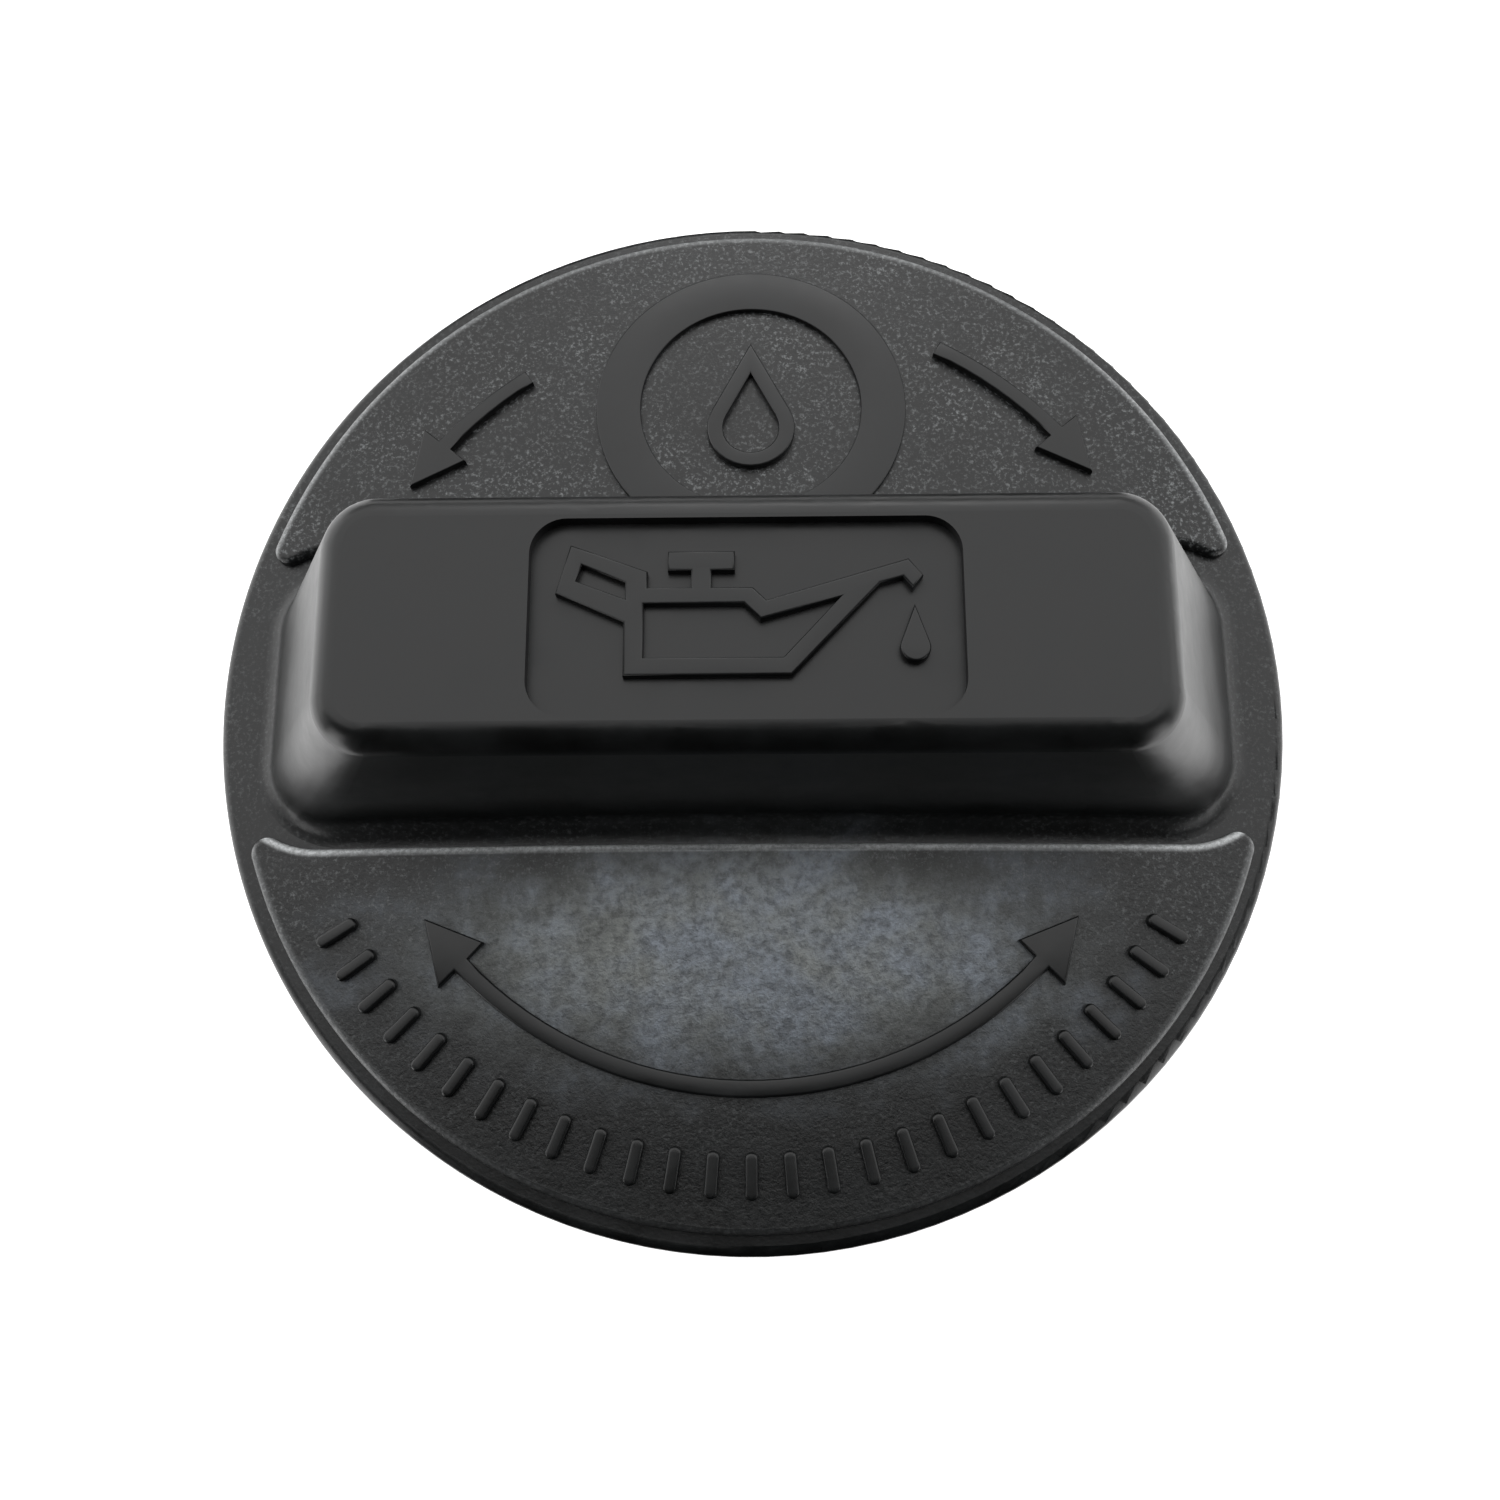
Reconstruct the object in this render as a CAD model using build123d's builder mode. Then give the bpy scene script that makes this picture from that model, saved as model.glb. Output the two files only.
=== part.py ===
import os
from math import asin, degrees, sqrt

from build123d import *

# Stem, from its open end at z = 0 up to the seal
stem_wall = 2.4
nose_step = 0.8
nose_length = 4.6
nose_chamfer = 0.7
seat_height = 16.9

# Bayonet lugs on the stem
lug_reach = 2.6
lug_angle = 64.0
lug_height = 2.8
lug_lead = 1.2
lug_root = 0.6

# Rubber ring between the head and the neck
ring_thickness = 3.0
ring_width = 5.2
ring_clearance = 0.15
ring_skirt_gap = 2.45
ring_round = 0.6

# Head
head_radius = 26.0
skirt_drop = 1.0
skirt_height = 6.3
skirt_wall = 2.2
rim_round = 0.5
dome_rise = 1.5
web = 2.9

# Bar grip across the head
grip_height = 13.3
grip_top_half_length = 17.7
grip_top_half_width = 5.6
grip_top_corner = 2.4
grip_side_draft = 0.85
grip_end_margin = 1.9
grip_foot_corner = 3.2
grip_foot_depth = 0.6
grip_top_round = 1.2
grip_foot_round = 1.2

# Recessed panel on top of the grip
panel_length = 18.1
panel_width = 8.6
panel_corner = 1.55
panel_depth = 0.7

# Hollow core of the grip
core_wall = 2.2
core_side_wall = 2.2
core_corner = 2.0
core_step = 0.5
core_draft = 1.0

# Raised crescents on both sides of the grip
pad_height = 0.6
pad_rim_gap = 0.45
pad_edge_round = 0.35
pad_tip_margin = 0.4
pad_root = 1.0
channel_gap = 0.03
channel_end_gap = 0.7
channel_corner = 4.8

# Levels and outlines that follow from the sizes above
head_underside = seat_height + ring_thickness
skirt_bottom = seat_height - skirt_drop
rim_level = skirt_bottom + skirt_height
floor_edge_radius = head_radius - rim_round
floor_edge = rim_level + rim_round
floor_top = floor_edge + dome_rise
dome_radius = (floor_edge_radius**2 + dome_rise**2) / (2 * dome_rise)
dome_centre = floor_top - dome_radius
dome_angle = degrees(asin(floor_edge_radius / dome_radius))
skirt_inner_radius = head_radius - skirt_wall
ring_inner_radius = skirt_inner_radius - ring_skirt_gap - ring_width
stem_radius = ring_inner_radius - ring_clearance
grip_top = rim_level + grip_height
grip_foot = floor_edge - grip_foot_depth
foot_half_length = floor_edge_radius - grip_end_margin
foot_half_width = grip_top_half_width + grip_side_draft
nose_radius = stem_radius - nose_step
lug_top = nose_length + lug_height
bore_radius = stem_radius - stem_wall
bore_top = floor_top - web
core_top = grip_top - panel_depth - core_wall
core_half_width = grip_top_half_width - core_side_wall
core_half_length = sqrt(bore_radius**2 - core_half_width**2) - core_step
pad_radius = floor_edge_radius - pad_rim_gap
pad_tip_round = pad_edge_round + pad_tip_margin
floor_half_width = grip_top_half_width + grip_side_draft * (grip_top - floor_top) / (grip_top - grip_foot)
channel_half_width = floor_half_width + grip_foot_round + channel_gap
channel_half_length = head_radius - channel_end_gap

# The two crescents: a shell that follows the head's floor, cut to a disc less the channel along the grip
with BuildPart() as pads:
    with BuildSketch(Plane.XY.offset(floor_top + pad_height)):
        Circle(pad_radius)
        RectangleRounded(2 * channel_half_length, 2 * channel_half_width, channel_corner, mode=Mode.SUBTRACT)
    extrude(amount=-(pad_height + dome_rise + 2 * pad_root))
    with Locations((0, 0, dome_centre)):
        Sphere(dome_radius + pad_height, mode=Mode.INTERSECT)
        Sphere(dome_radius - pad_root, mode=Mode.SUBTRACT)
    fillet(pads.edges().filter_by(Axis.Z), radius=pad_tip_round)
    fillet(pads.faces().filter_by(GeomType.SPHERE).sort_by(Axis.Z)[-2:].edges(), radius=pad_edge_round)

with BuildPart() as cap_body:
    # Head with its skirt and domed floor
    with BuildSketch(Plane.XZ):
        with BuildLine():
            dome = CenterArc((0, dome_centre), dome_radius, 90, -dome_angle)
            rim = CenterArc((floor_edge_radius, rim_level), rim_round, 90, -90)
            Polyline(
                rim @ 1,
                (head_radius, skirt_bottom),
                (skirt_inner_radius, skirt_bottom),
                (skirt_inner_radius, head_underside),
                (0, head_underside),
                dome @ 0,
            )
        make_face()
    revolve(axis=Axis.Z)

    # Bar grip, wide and round-cornered at its foot
    with BuildSketch(Plane.XY.offset(grip_foot)):
        RectangleRounded(2 * foot_half_length, 2 * foot_half_width, grip_foot_corner)
    with BuildSketch(Plane.XY.offset(grip_top)):
        RectangleRounded(2 * grip_top_half_length, 2 * grip_top_half_width, grip_top_corner)
    loft(ruled=True)
    foot_edges = cap_body.edges().filter_by(
        lambda e: floor_edge - rim_round < e.center().Z < floor_top + rim_round
        and abs(e.center().X) < foot_half_length
        and abs(e.center().Y) < foot_half_width
    )
    fillet(foot_edges, radius=grip_foot_round)
    fillet(cap_body.faces().sort_by(Axis.Z)[-1].edges(), radius=grip_top_round)

    # Crescents and the panel
    add(pads.part)
    with BuildSketch(Plane.XY.offset(grip_top)):
        RectangleRounded(panel_length, panel_width, panel_corner)
    extrude(amount=-panel_depth, mode=Mode.SUBTRACT)

    # Stem with its narrower nose
    with BuildSketch(Plane.XY.offset(nose_length)):
        Circle(stem_radius)
    extrude(amount=head_underside - nose_length)
    with BuildSketch(Plane.XY):
        Circle(nose_radius)
    extrude(amount=nose_length)
    chamfer(cap_body.faces().sort_by(Axis.Z)[0].edges(), length=nose_chamfer)

    # Lugs
    with BuildSketch(Plane.XY.offset(nose_length)):
        with BuildLine():
            inner = CenterArc((0, 0), stem_radius - lug_root, -lug_angle / 2, lug_angle)
            outer = CenterArc((0, 0), stem_radius + lug_reach, -lug_angle / 2, lug_angle)
            Line(inner @ 0, outer @ 0)
            Line(inner @ 1, outer @ 1)
        make_face()
        mirror(about=Plane.YZ)
    extrude(amount=lug_height)
    lug_ends = cap_body.edges().filter_by(GeomType.LINE).filter_by_position(Axis.Z, lug_top, lug_top)
    chamfer(lug_ends, length=lug_lead)

    # Bore of the stem and the core of the grip
    with BuildSketch(Plane.XY):
        Circle(bore_radius)
    extrude(amount=bore_top, mode=Mode.SUBTRACT)
    with BuildSketch(Plane.XY.offset(bore_top)):
        RectangleRounded(2 * core_half_length, 2 * core_half_width, core_corner)
    extrude(amount=core_top - bore_top, taper=core_draft, mode=Mode.SUBTRACT)

with BuildPart() as seal_ring:
    with BuildSketch(Plane.XZ):
        with Locations((ring_inner_radius + ring_width / 2, seat_height + ring_thickness / 2)):
            RectangleRounded(ring_width, ring_thickness, ring_round)
    revolve(axis=Axis.Z)

os.makedirs("parts", exist_ok=True)
cap_body.part.label = "cap_body"
seal_ring.part.label = "seal_ring"
export_step(cap_body.part, "parts/cap_body.step")
export_step(seal_ring.part, "parts/seal_ring.step")
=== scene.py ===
"""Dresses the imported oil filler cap: its moulded finish, its raised signs, a studio and the camera.

Sizes are in millimetres and in the part's own frame: origin at the stem's open end, +Z up towards the
grip, +X along the grip. Meshes are made in millimetres and scaled to metres once, when they are placed.
"""

import logging
import math
from dataclasses import dataclass
from enum import Enum
from typing import Any, Callable, Iterable, NamedTuple

import bmesh
import bpy
from mathutils import Matrix, Vector


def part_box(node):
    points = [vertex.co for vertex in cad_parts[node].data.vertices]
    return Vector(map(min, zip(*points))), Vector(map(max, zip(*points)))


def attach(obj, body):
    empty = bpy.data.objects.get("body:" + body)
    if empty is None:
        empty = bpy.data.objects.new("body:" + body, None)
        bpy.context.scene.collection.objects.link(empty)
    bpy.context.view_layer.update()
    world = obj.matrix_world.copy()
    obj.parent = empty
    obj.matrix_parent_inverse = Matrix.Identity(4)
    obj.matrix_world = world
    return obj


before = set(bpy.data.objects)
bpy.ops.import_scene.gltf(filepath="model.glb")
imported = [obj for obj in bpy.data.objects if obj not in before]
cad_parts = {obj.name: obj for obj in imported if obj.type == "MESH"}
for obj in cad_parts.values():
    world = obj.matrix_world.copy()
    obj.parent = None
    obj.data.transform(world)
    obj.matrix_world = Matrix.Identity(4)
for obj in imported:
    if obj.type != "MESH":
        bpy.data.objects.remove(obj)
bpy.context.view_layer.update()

LOG = logging.getLogger("oil_filler_cap")
MM = 0.001
AXIS = (0.0, 0.0)
FLAT = (1.0, 1.0, 0.0)
WHITE = "#ffffff"

Point = tuple[float, float]
Place = tuple[float, float, float]
Outline = list[Point]
Surface = Callable[[float, float], float]
Inputs = dict[Any, Any]
Socket = bpy.types.NodeSocket
Tree = bpy.types.NodeTree


class Node(Enum):
    """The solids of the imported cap."""

    BODY = "cap_body"
    SEAL = "seal_ring"


class Heads(Enum):
    """Which ends of an arrow carry a head, with angles that rise from its start to its end."""

    START = "start"
    END = "end"
    BOTH = "both"


class Kind(Enum):
    """The types of node that the finishes, the room and the row of ribs are made of."""

    PLACE = "ShaderNodeTexCoord"
    MAPPING = "ShaderNodeMapping"
    NOISE = "ShaderNodeTexNoise"
    RANGE = "ShaderNodeMapRange"
    RAMP = "ShaderNodeValToRGB"
    MATH = "ShaderNodeMath"
    VECTOR = "ShaderNodeVectorMath"
    SPLIT = "ShaderNodeSeparateXYZ"
    JOIN = "ShaderNodeCombineXYZ"
    MIX = "ShaderNodeMix"
    BUMP = "ShaderNodeBump"
    RAYS = "ShaderNodeLightPath"
    GIVEN = "NodeGroupInput"
    RESULT = "NodeGroupOutput"
    ARC = "GeometryNodeCurveArc"
    POINTS = "GeometryNodeCurveToPoints"
    MOVE = "GeometryNodeSetPosition"
    POSITION = "GeometryNodeInputPosition"
    ALIGN = "FunctionNodeAlignRotationToVector"
    OBJECT = "GeometryNodeObjectInfo"
    INSTANCES = "GeometryNodeInstanceOnPoints"
    REALIZE = "GeometryNodeRealizeInstances"
    FINISH = "GeometryNodeSetMaterial"


def linear(colour: str) -> tuple[float, float, float, float]:
    """Turns an sRGB hex colour into linear light.

    Args:
        colour: Six hex digits after a number sign.

    Returns:
        Red, green, blue and a full alpha, for a colour socket.
    """
    parts = [int(colour[i : i + 2], 16) / 255 for i in (1, 3, 5)]
    red, green, blue = (c / 12.92 if c <= 0.04045 else ((c + 0.055) / 1.055) ** 2.4 for c in parts)
    return red, green, blue, 1.0


def add_node(tree: Tree, kind: Kind, inputs: Inputs | None = None, **settings: Any) -> Any:
    """Adds a node to a tree.

    Args:
        tree: The tree that gets the node.
        kind: The node's type.
        inputs: Socket name or number to a constant, or to the output socket that feeds it.
        **settings: The node's own properties.

    Returns:
        The new node.
    """
    node = tree.nodes.new(kind.value)
    for name, value in settings.items():
        setattr(node, name, value)
    for key, value in (inputs or {}).items():
        socket = node.inputs[key]
        if isinstance(value, bpy.types.NodeSocket):
            tree.links.new(value, socket)
        else:
            socket.default_value = value
    return node


def new_material(name: str, constants: Inputs) -> tuple[bpy.types.Material, Tree, bpy.types.Node]:
    """Makes a material with a principled shader.

    Args:
        name: The material's name.
        constants: The shader's inputs that stay the same all over.

    Returns:
        The material, its tree and its shader.
    """
    material = bpy.data.materials.new(name)
    material.use_nodes = True
    shader = material.node_tree.nodes["Principled BSDF"]
    for key, value in constants.items():
        shader.inputs[key].default_value = value
    return material, material.node_tree, shader


@dataclass(frozen=True)
class Pattern:
    """A noise: the size of its features in millimetres, and how detailed, rough and swirled it is."""

    size: float
    detail: float = 2.0
    roughness: float = 0.5
    distortion: float = 0.0

    def at(self, place: Socket) -> Inputs:
        """Gives a noise node's inputs."""
        kind = {"Detail": self.detail, "Roughness": self.roughness, "Distortion": self.distortion}
        return {"Vector": place, "Scale": 1 / (self.size * MM), **kind}


@dataclass(frozen=True)
class Span:
    """A change from one value to another, while what drives it goes from a start to an end."""

    start: float
    end: float
    first: float = 0.0
    last: float = 1.0

    def times(self, size: float) -> "Span":
        """Gives the same change with its start and end as multiples of a size."""
        return Span(self.start * size, self.end * size, self.first, self.last)

    def of(self, driver: Socket) -> Inputs:
        """Gives a map range node's inputs."""
        limits = {"From Min": self.start, "From Max": self.end}
        return {"Value": driver, **limits, "To Min": self.first, "To Max": self.last}


@dataclass(frozen=True)
class Tint:
    """A change from one colour to another, while what drives it goes from a start to an end."""

    start: float
    end: float
    first: str
    last: str

    def fill(self, ramp: bpy.types.ColorRamp) -> None:
        """Sets the two ends of a colour ramp."""
        for end, position, colour in zip(ramp.elements, (self.start, self.end), (self.first, self.last)):
            end.position, end.color = position, linear(colour)


@dataclass(frozen=True)
class HeadShape:
    """The cap's upper surfaces, worked out from the solid's size and the moulding's own steps."""

    top: float
    radius: float
    grip_height: float = 13.3
    rim_round: float = 0.5
    dome_rise: float = 1.5
    crescent_height: float = 0.6
    crescent_edge_round: float = 0.35
    crescent_rim_gap: float = 0.45
    channel_half_width: float = 7.55
    channel_end_gap: float = 0.7
    channel_corner: float = 4.8
    panel_depth: float = 0.7

    @property
    def crescent_radius(self) -> float:
        """The radius of the crescents' outer edge in plan."""
        return self.radius - self.rim_round - self.crescent_rim_gap

    @property
    def channel_straight(self) -> float:
        """Half the length of the channel's straight edges."""
        return self.radius - self.channel_end_gap - self.channel_corner

    @property
    def dome_radius(self) -> float:
        """The radius of the sphere that the head's floor is part of."""
        reach = self.radius - self.rim_round
        return (reach**2 + self.dome_rise**2) / (2 * self.dome_rise)

    @property
    def dome_centre(self) -> float:
        """The level of that sphere's centre, far below the cap."""
        return self.top - self.grip_height + self.rim_round + self.dome_rise - self.dome_radius

    def crescent(self, x: float, y: float) -> float:
        """Gives the level of the crescents' top at a place in plan."""
        return self.dome_centre + math.sqrt((self.dome_radius + self.crescent_height) ** 2 - x * x - y * y)

    def panel(self, x: float, y: float) -> float:
        """Gives the level of the grip's recessed panel, which is flat."""
        return self.top - self.panel_depth


BODY_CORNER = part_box(Node.BODY.value)[1]
HEAD = HeadShape(top=BODY_CORNER[2] / MM, radius=BODY_CORNER[0] / MM)


class Skin(NamedTuple):
    """What a shader gets from its patterns."""

    colour: Socket
    roughness: Socket
    normal: Socket


class Zones(NamedTuple):
    """Stippled zone, painted edge highlight and share of painted light on the moulding, each from 0 to 1."""

    stippled: Socket
    painted_edge_highlight: Socket
    painted_light_share: Socket


@dataclass(frozen=True)
class PolishedNylon:
    """Glass-filled black nylon, injection moulded in a polished tool: a satin skin, faintly cloudy."""

    name: str = "polished_glass_filled_nylon"
    ior: float = 1.53
    cloud: Pattern = Pattern(3.2, detail=4.0, roughness=0.6)
    tint: Tint = Tint(0.35, 0.7, "#080909", "#121415")
    gloss: Span = Span(0.3, 0.7, 0.285, 0.4)
    skin: Pattern = Pattern(0.55)
    skin_depth: float = 0.003

    def material(self) -> bpy.types.Material:
        """Builds the material.

        Returns:
            The finished material.
        """
        material, tree, shader = new_material(self.name, {"IOR": self.ior})
        place = add_node(tree, Kind.PLACE).outputs["Object"]
        cloud = add_node(tree, Kind.NOISE, self.cloud.at(place)).outputs["Fac"]
        tint = add_node(tree, Kind.RAMP, {"Fac": cloud})
        self.tint.fill(tint.color_ramp)
        gloss = add_node(tree, Kind.RANGE, self.gloss.of(cloud)).outputs["Result"]
        waves = add_node(tree, Kind.NOISE, self.skin.at(place)).outputs["Fac"]
        bump = add_node(tree, Kind.BUMP, {"Height": waves, "Distance": self.skin_depth * MM})
        polished = Skin(tint.outputs["Color"], gloss, bump.outputs["Normal"])
        skin = self._finish(tree, shader, place, cloud, polished)
        tree.links.new(skin.colour, shader.inputs["Base Color"])
        tree.links.new(skin.roughness, shader.inputs["Roughness"])
        tree.links.new(skin.normal, shader.inputs["Normal"])
        return material

    def _finish(self, tree: Tree, shader: bpy.types.Node, place: Socket, cloud: Socket, skin: Skin) -> Skin:
        """Gives the skin as the polished tool left it."""
        return skin


@dataclass(frozen=True)
class MouldedNylon(PolishedNylon):
    """Glass-filled black nylon, injection moulded in a tool that is polished only in part.

    Where the tool was polished, as on the grip, it has a satin black skin with a faint cloudiness. Where
    the tool was spark-eroded, as on the crescents and the head's floor, a fine grain scatters the light.
    Pale specks are painted in it as glints, strong on the far crescent and faint on the near one. Painted
    highlights run along the near crescent's lip and the far crescent's outer edge, and a metallic spot in
    the middle of the near crescent is a painted sheen that shines like gunmetal.
    """

    name: str = "moulded_glass_filled_nylon"
    marble: Pattern = Pattern(0.48, detail=5.0, roughness=0.72, distortion=0.15)
    marble_depth: float = 0.02
    marble_gloss: Span = Span(0.35, 0.65, 0.3, 0.42)
    # Spark erosion leaves pits of about 0.05 mm; stipple and painted glints are drawn coarser so they show
    stipple: Pattern = Pattern(0.16, roughness=0.65)
    stipple_depth: float = 0.016
    grain: Pattern = Pattern(0.2, detail=3.0, roughness=0.75)
    # Painted glints: pale specks in the stipple, in place of light glinting off it, faint on the near
    # crescent
    painted_glint: Span = Span(0.52, 0.72)
    painted_glint_colour: str = "#828586"
    patch: Pattern = Pattern(6.0, detail=3.0, roughness=0.7)
    patch_share: Span = Span(0.38, 0.62, 0.4, 1.0)
    near_share: float = 0.05
    floor_to_crest: Span = Span(0.0, 1.0, 0.45, 1.0)
    # Levels over the head's floor between which a zone begins or ends, in heights of a crescent
    crest: Span = Span(0.4, 0.9)
    painted_highlight_rise: Span = Span(0.3, 0.5)
    grip_foot: Span = Span(1.2, 1.8, 1.0, 0.0)
    # The same at the rim, in radii of its round
    inside_rim: Span = Span(-0.5, 0.0)
    # Painted highlights: a pale band along the near crescent's lip and, fainter, the far crescent's outer
    # edge
    painted_highlight_colour: str = "#e4e7e8"
    painted_highlight_width: float = 0.3
    painted_highlight_grain: Span = Span(0.4, 0.6, 0.6, 1.0)
    rim_share: float = 0.35
    # Painted sheen: a metallic spot in the middle of the near crescent, where the light's sheen falls
    painted_sheen_middle: Point = (-0.5, -12.6)
    painted_sheen_reach: Point = (20.5, 7.0)
    painted_sheen_tint: Tint = Tint(0.38, 0.62, "#7f858c", "#808381")
    painted_sheen_raggedness: float = 0.9
    painted_sheen_edge: Span = Span(0.7, 1.5, 1.0, 0.0)
    painted_sheen_breaks: Span = Span(0.36, 0.6, 0.4, 1.0)

    def _finish(self, tree: Tree, shader: bpy.types.Node, place: Socket, cloud: Socket, skin: Skin) -> Skin:
        """Adds the painted sheen, the painted glints, the painted edge highlights and the stipple.

        Args:
            tree: The material's tree.
            shader: Its shader, which the painted sheen makes metallic.
            place: Object coordinates.
            cloud: The cloud pattern, which turns the painted sheen from cool to warm.
            skin: The polished skin.

        Returns:
            The skin with all of them on it.
        """
        marble = add_node(tree, Kind.NOISE, self.marble.at(place)).outputs["Fac"]
        grain = add_node(tree, Kind.NOISE, self.grain.at(place)).outputs["Fac"]
        zones = self._zones(tree, place)
        # A metallic spot is the painted sheen on the near crescent
        painted_sheen = self._painted_sheen(tree, place, cloud, marble, zones.stippled)
        tree.links.new(painted_sheen, shader.inputs["Metallic"])
        tint = add_node(tree, Kind.RAMP, {"Fac": cloud})
        self.painted_sheen_tint.fill(tint.color_ramp)
        layers = {"Factor": painted_sheen, "A": skin.colour, "B": tint.outputs["Color"]}
        colour = add_node(tree, Kind.MIX, layers, data_type="RGBA").outputs["Result"]
        # Painted glints, then painted highlights along the crescents' edges
        colour = self._painted_glints(tree, place, grain, zones, colour)
        colour = self._paint_edge_highlights(tree, grain, zones.painted_edge_highlight, colour)
        return self._stipple(tree, place, marble, zones.stippled, skin._replace(colour=colour))

    def _zones(self, tree: Tree, place: Socket) -> Zones:
        """Tells the stippled surfaces and the crescents' edges with painted highlights from the polished
        rest.

        Args:
            tree: The material's tree.
            place: Object coordinates.

        Returns:
            The zones.
        """
        centre = (0.0, 0.0, HEAD.dome_centre * MM)
        reach = add_node(tree, Kind.VECTOR, {0: place, 1: centre}, operation="DISTANCE").outputs["Value"]
        dome, corner = HEAD.dome_radius * MM, HEAD.channel_corner * MM
        above = add_node(tree, Kind.MATH, {0: reach, 1: dome}, operation="SUBTRACT").outputs["Value"]
        away = self._off_channel(tree, place)
        beside = add_node(tree, Kind.MATH, {0: away, 1: corner}, operation="GREATER_THAN").outputs["Value"]
        across = add_node(tree, Kind.SPLIT, {"Vector": place}).outputs["Y"]
        # The painted glints and the painted rim highlight fade from the far side to the near one
        near_to_far = Span(-HEAD.radius * MM, HEAD.channel_half_width * MM, self.near_share)
        painted_light_share = add_node(tree, Kind.RANGE, near_to_far.of(across)).outputs["Result"]
        # The painted highlight along the lip goes on the near crescent only
        near = add_node(tree, Kind.MATH, {0: across, 1: 0.0}, operation="LESS_THAN").outputs["Value"]
        line = self._band(tree, away, HEAD.channel_corner + HEAD.crescent_edge_round / 2)
        lip = add_node(tree, Kind.MATH, {0: line, 1: near}, operation="MULTIPLY").outputs["Value"]
        rim = self._painted_rim_highlight(tree, place, painted_light_share)
        both = add_node(tree, Kind.MATH, {0: lip, 1: rim}, operation="MAXIMUM").outputs["Value"]
        edge = self.painted_highlight_rise.times(HEAD.crescent_height * MM)
        risen = add_node(tree, Kind.RANGE, edge.of(above)).outputs["Result"]
        free = add_node(tree, Kind.MATH, {0: risen, 1: beside}, operation="MULTIPLY").outputs["Value"]
        painted_edge_highlight = add_node(tree, Kind.MATH, {0: both, 1: free}, operation="MULTIPLY").outputs["Value"]
        return Zones(self._stippled(tree, above, beside), painted_edge_highlight, painted_light_share)

    def _stippled(self, tree: Tree, above: Socket, beside: Socket) -> Socket:
        """Gives the stippled zone, which is full on the crescents and weaker on the head's floor.

        Args:
            tree: The material's tree.
            above: The height over the head's floor in metres.
            beside: 1 outside the channel along the grip, 0 in it.

        Returns:
            How strongly the surface is stippled, from 0 to 1.
        """
        height = HEAD.crescent_height * MM
        raised = add_node(tree, Kind.RANGE, self.crest.times(height).of(above)).outputs["Result"]
        crest = add_node(tree, Kind.MATH, {0: raised, 1: beside}, operation="MULTIPLY").outputs["Value"]
        share = add_node(tree, Kind.RANGE, self.floor_to_crest.of(crest)).outputs["Result"]
        rim = self.inside_rim.times(HEAD.rim_round * MM)
        inside = add_node(tree, Kind.RANGE, rim.of(above)).outputs["Result"]
        below = add_node(tree, Kind.RANGE, self.grip_foot.times(height).of(above)).outputs["Result"]
        head = add_node(tree, Kind.MATH, {0: inside, 1: below}, operation="MULTIPLY").outputs["Value"]
        return add_node(tree, Kind.MATH, {0: share, 1: head}, operation="MULTIPLY").outputs["Value"]

    def _off_channel(self, tree: Tree, place: Socket) -> Socket:
        """Gives the distance in plan from the rectangle between the centres of the channel's corners.

        Args:
            tree: The material's tree.
            place: Object coordinates.

        Returns:
            The distance in metres, which along the channel's whole edge is its corner radius.
        """
        centre = (HEAD.channel_straight * MM, (HEAD.channel_half_width - HEAD.channel_corner) * MM, 0.0)
        folded = add_node(tree, Kind.VECTOR, {0: place}, operation="ABSOLUTE").outputs["Vector"]
        past = add_node(tree, Kind.VECTOR, {0: folded, 1: centre}, operation="SUBTRACT").outputs["Vector"]
        kept = add_node(tree, Kind.VECTOR, {0: past, 1: (0.0,) * 3}, operation="MAXIMUM").outputs["Vector"]
        plan = add_node(tree, Kind.VECTOR, {0: kept, 1: FLAT}, operation="MULTIPLY").outputs["Vector"]
        return add_node(tree, Kind.VECTOR, {0: plan}, operation="LENGTH").outputs["Value"]

    def _painted_rim_highlight(self, tree: Tree, place: Socket, share: Socket) -> Socket:
        """Gives the painted highlight along the crescents' outer edge, which fades towards the near side.

        Args:
            tree: The material's tree.
            place: Object coordinates.
            share: The share of painted light from the near side to the far one.

        Returns:
            How strongly the highlight is painted, from 0 to 1.
        """
        plan = add_node(tree, Kind.VECTOR, {0: place, 1: FLAT}, operation="MULTIPLY").outputs["Vector"]
        radius = add_node(tree, Kind.VECTOR, {0: plan}, operation="LENGTH").outputs["Value"]
        rim = self._band(tree, radius, HEAD.crescent_radius - HEAD.crescent_edge_round / 2)
        faded = add_node(tree, Kind.MATH, {0: rim, 1: share}, operation="MULTIPLY").outputs["Value"]
        faint = add_node(tree, Kind.MATH, {0: faded, 1: self.rim_share}, operation="MULTIPLY")
        return faint.outputs["Value"]

    def _band(self, tree: Tree, value: Socket, middle: float) -> Socket:
        """Gives a soft band, as wide as the painted highlights, where a length has a given value.

        Args:
            tree: The material's tree.
            value: The length in metres.
            middle: The band's middle in millimetres.

        Returns:
            1 in the band's middle, falling to 0 at its sides.
        """
        off = add_node(tree, Kind.MATH, {0: value, 1: middle * MM}, operation="SUBTRACT").outputs["Value"]
        away = add_node(tree, Kind.MATH, {0: off}, operation="ABSOLUTE").outputs["Value"]
        fall = Span(0.0, self.painted_highlight_width * MM, 1.0, 0.0)
        band = add_node(tree, Kind.RANGE, fall.of(away), interpolation_type="SMOOTHSTEP")
        return band.outputs["Result"]

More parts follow.
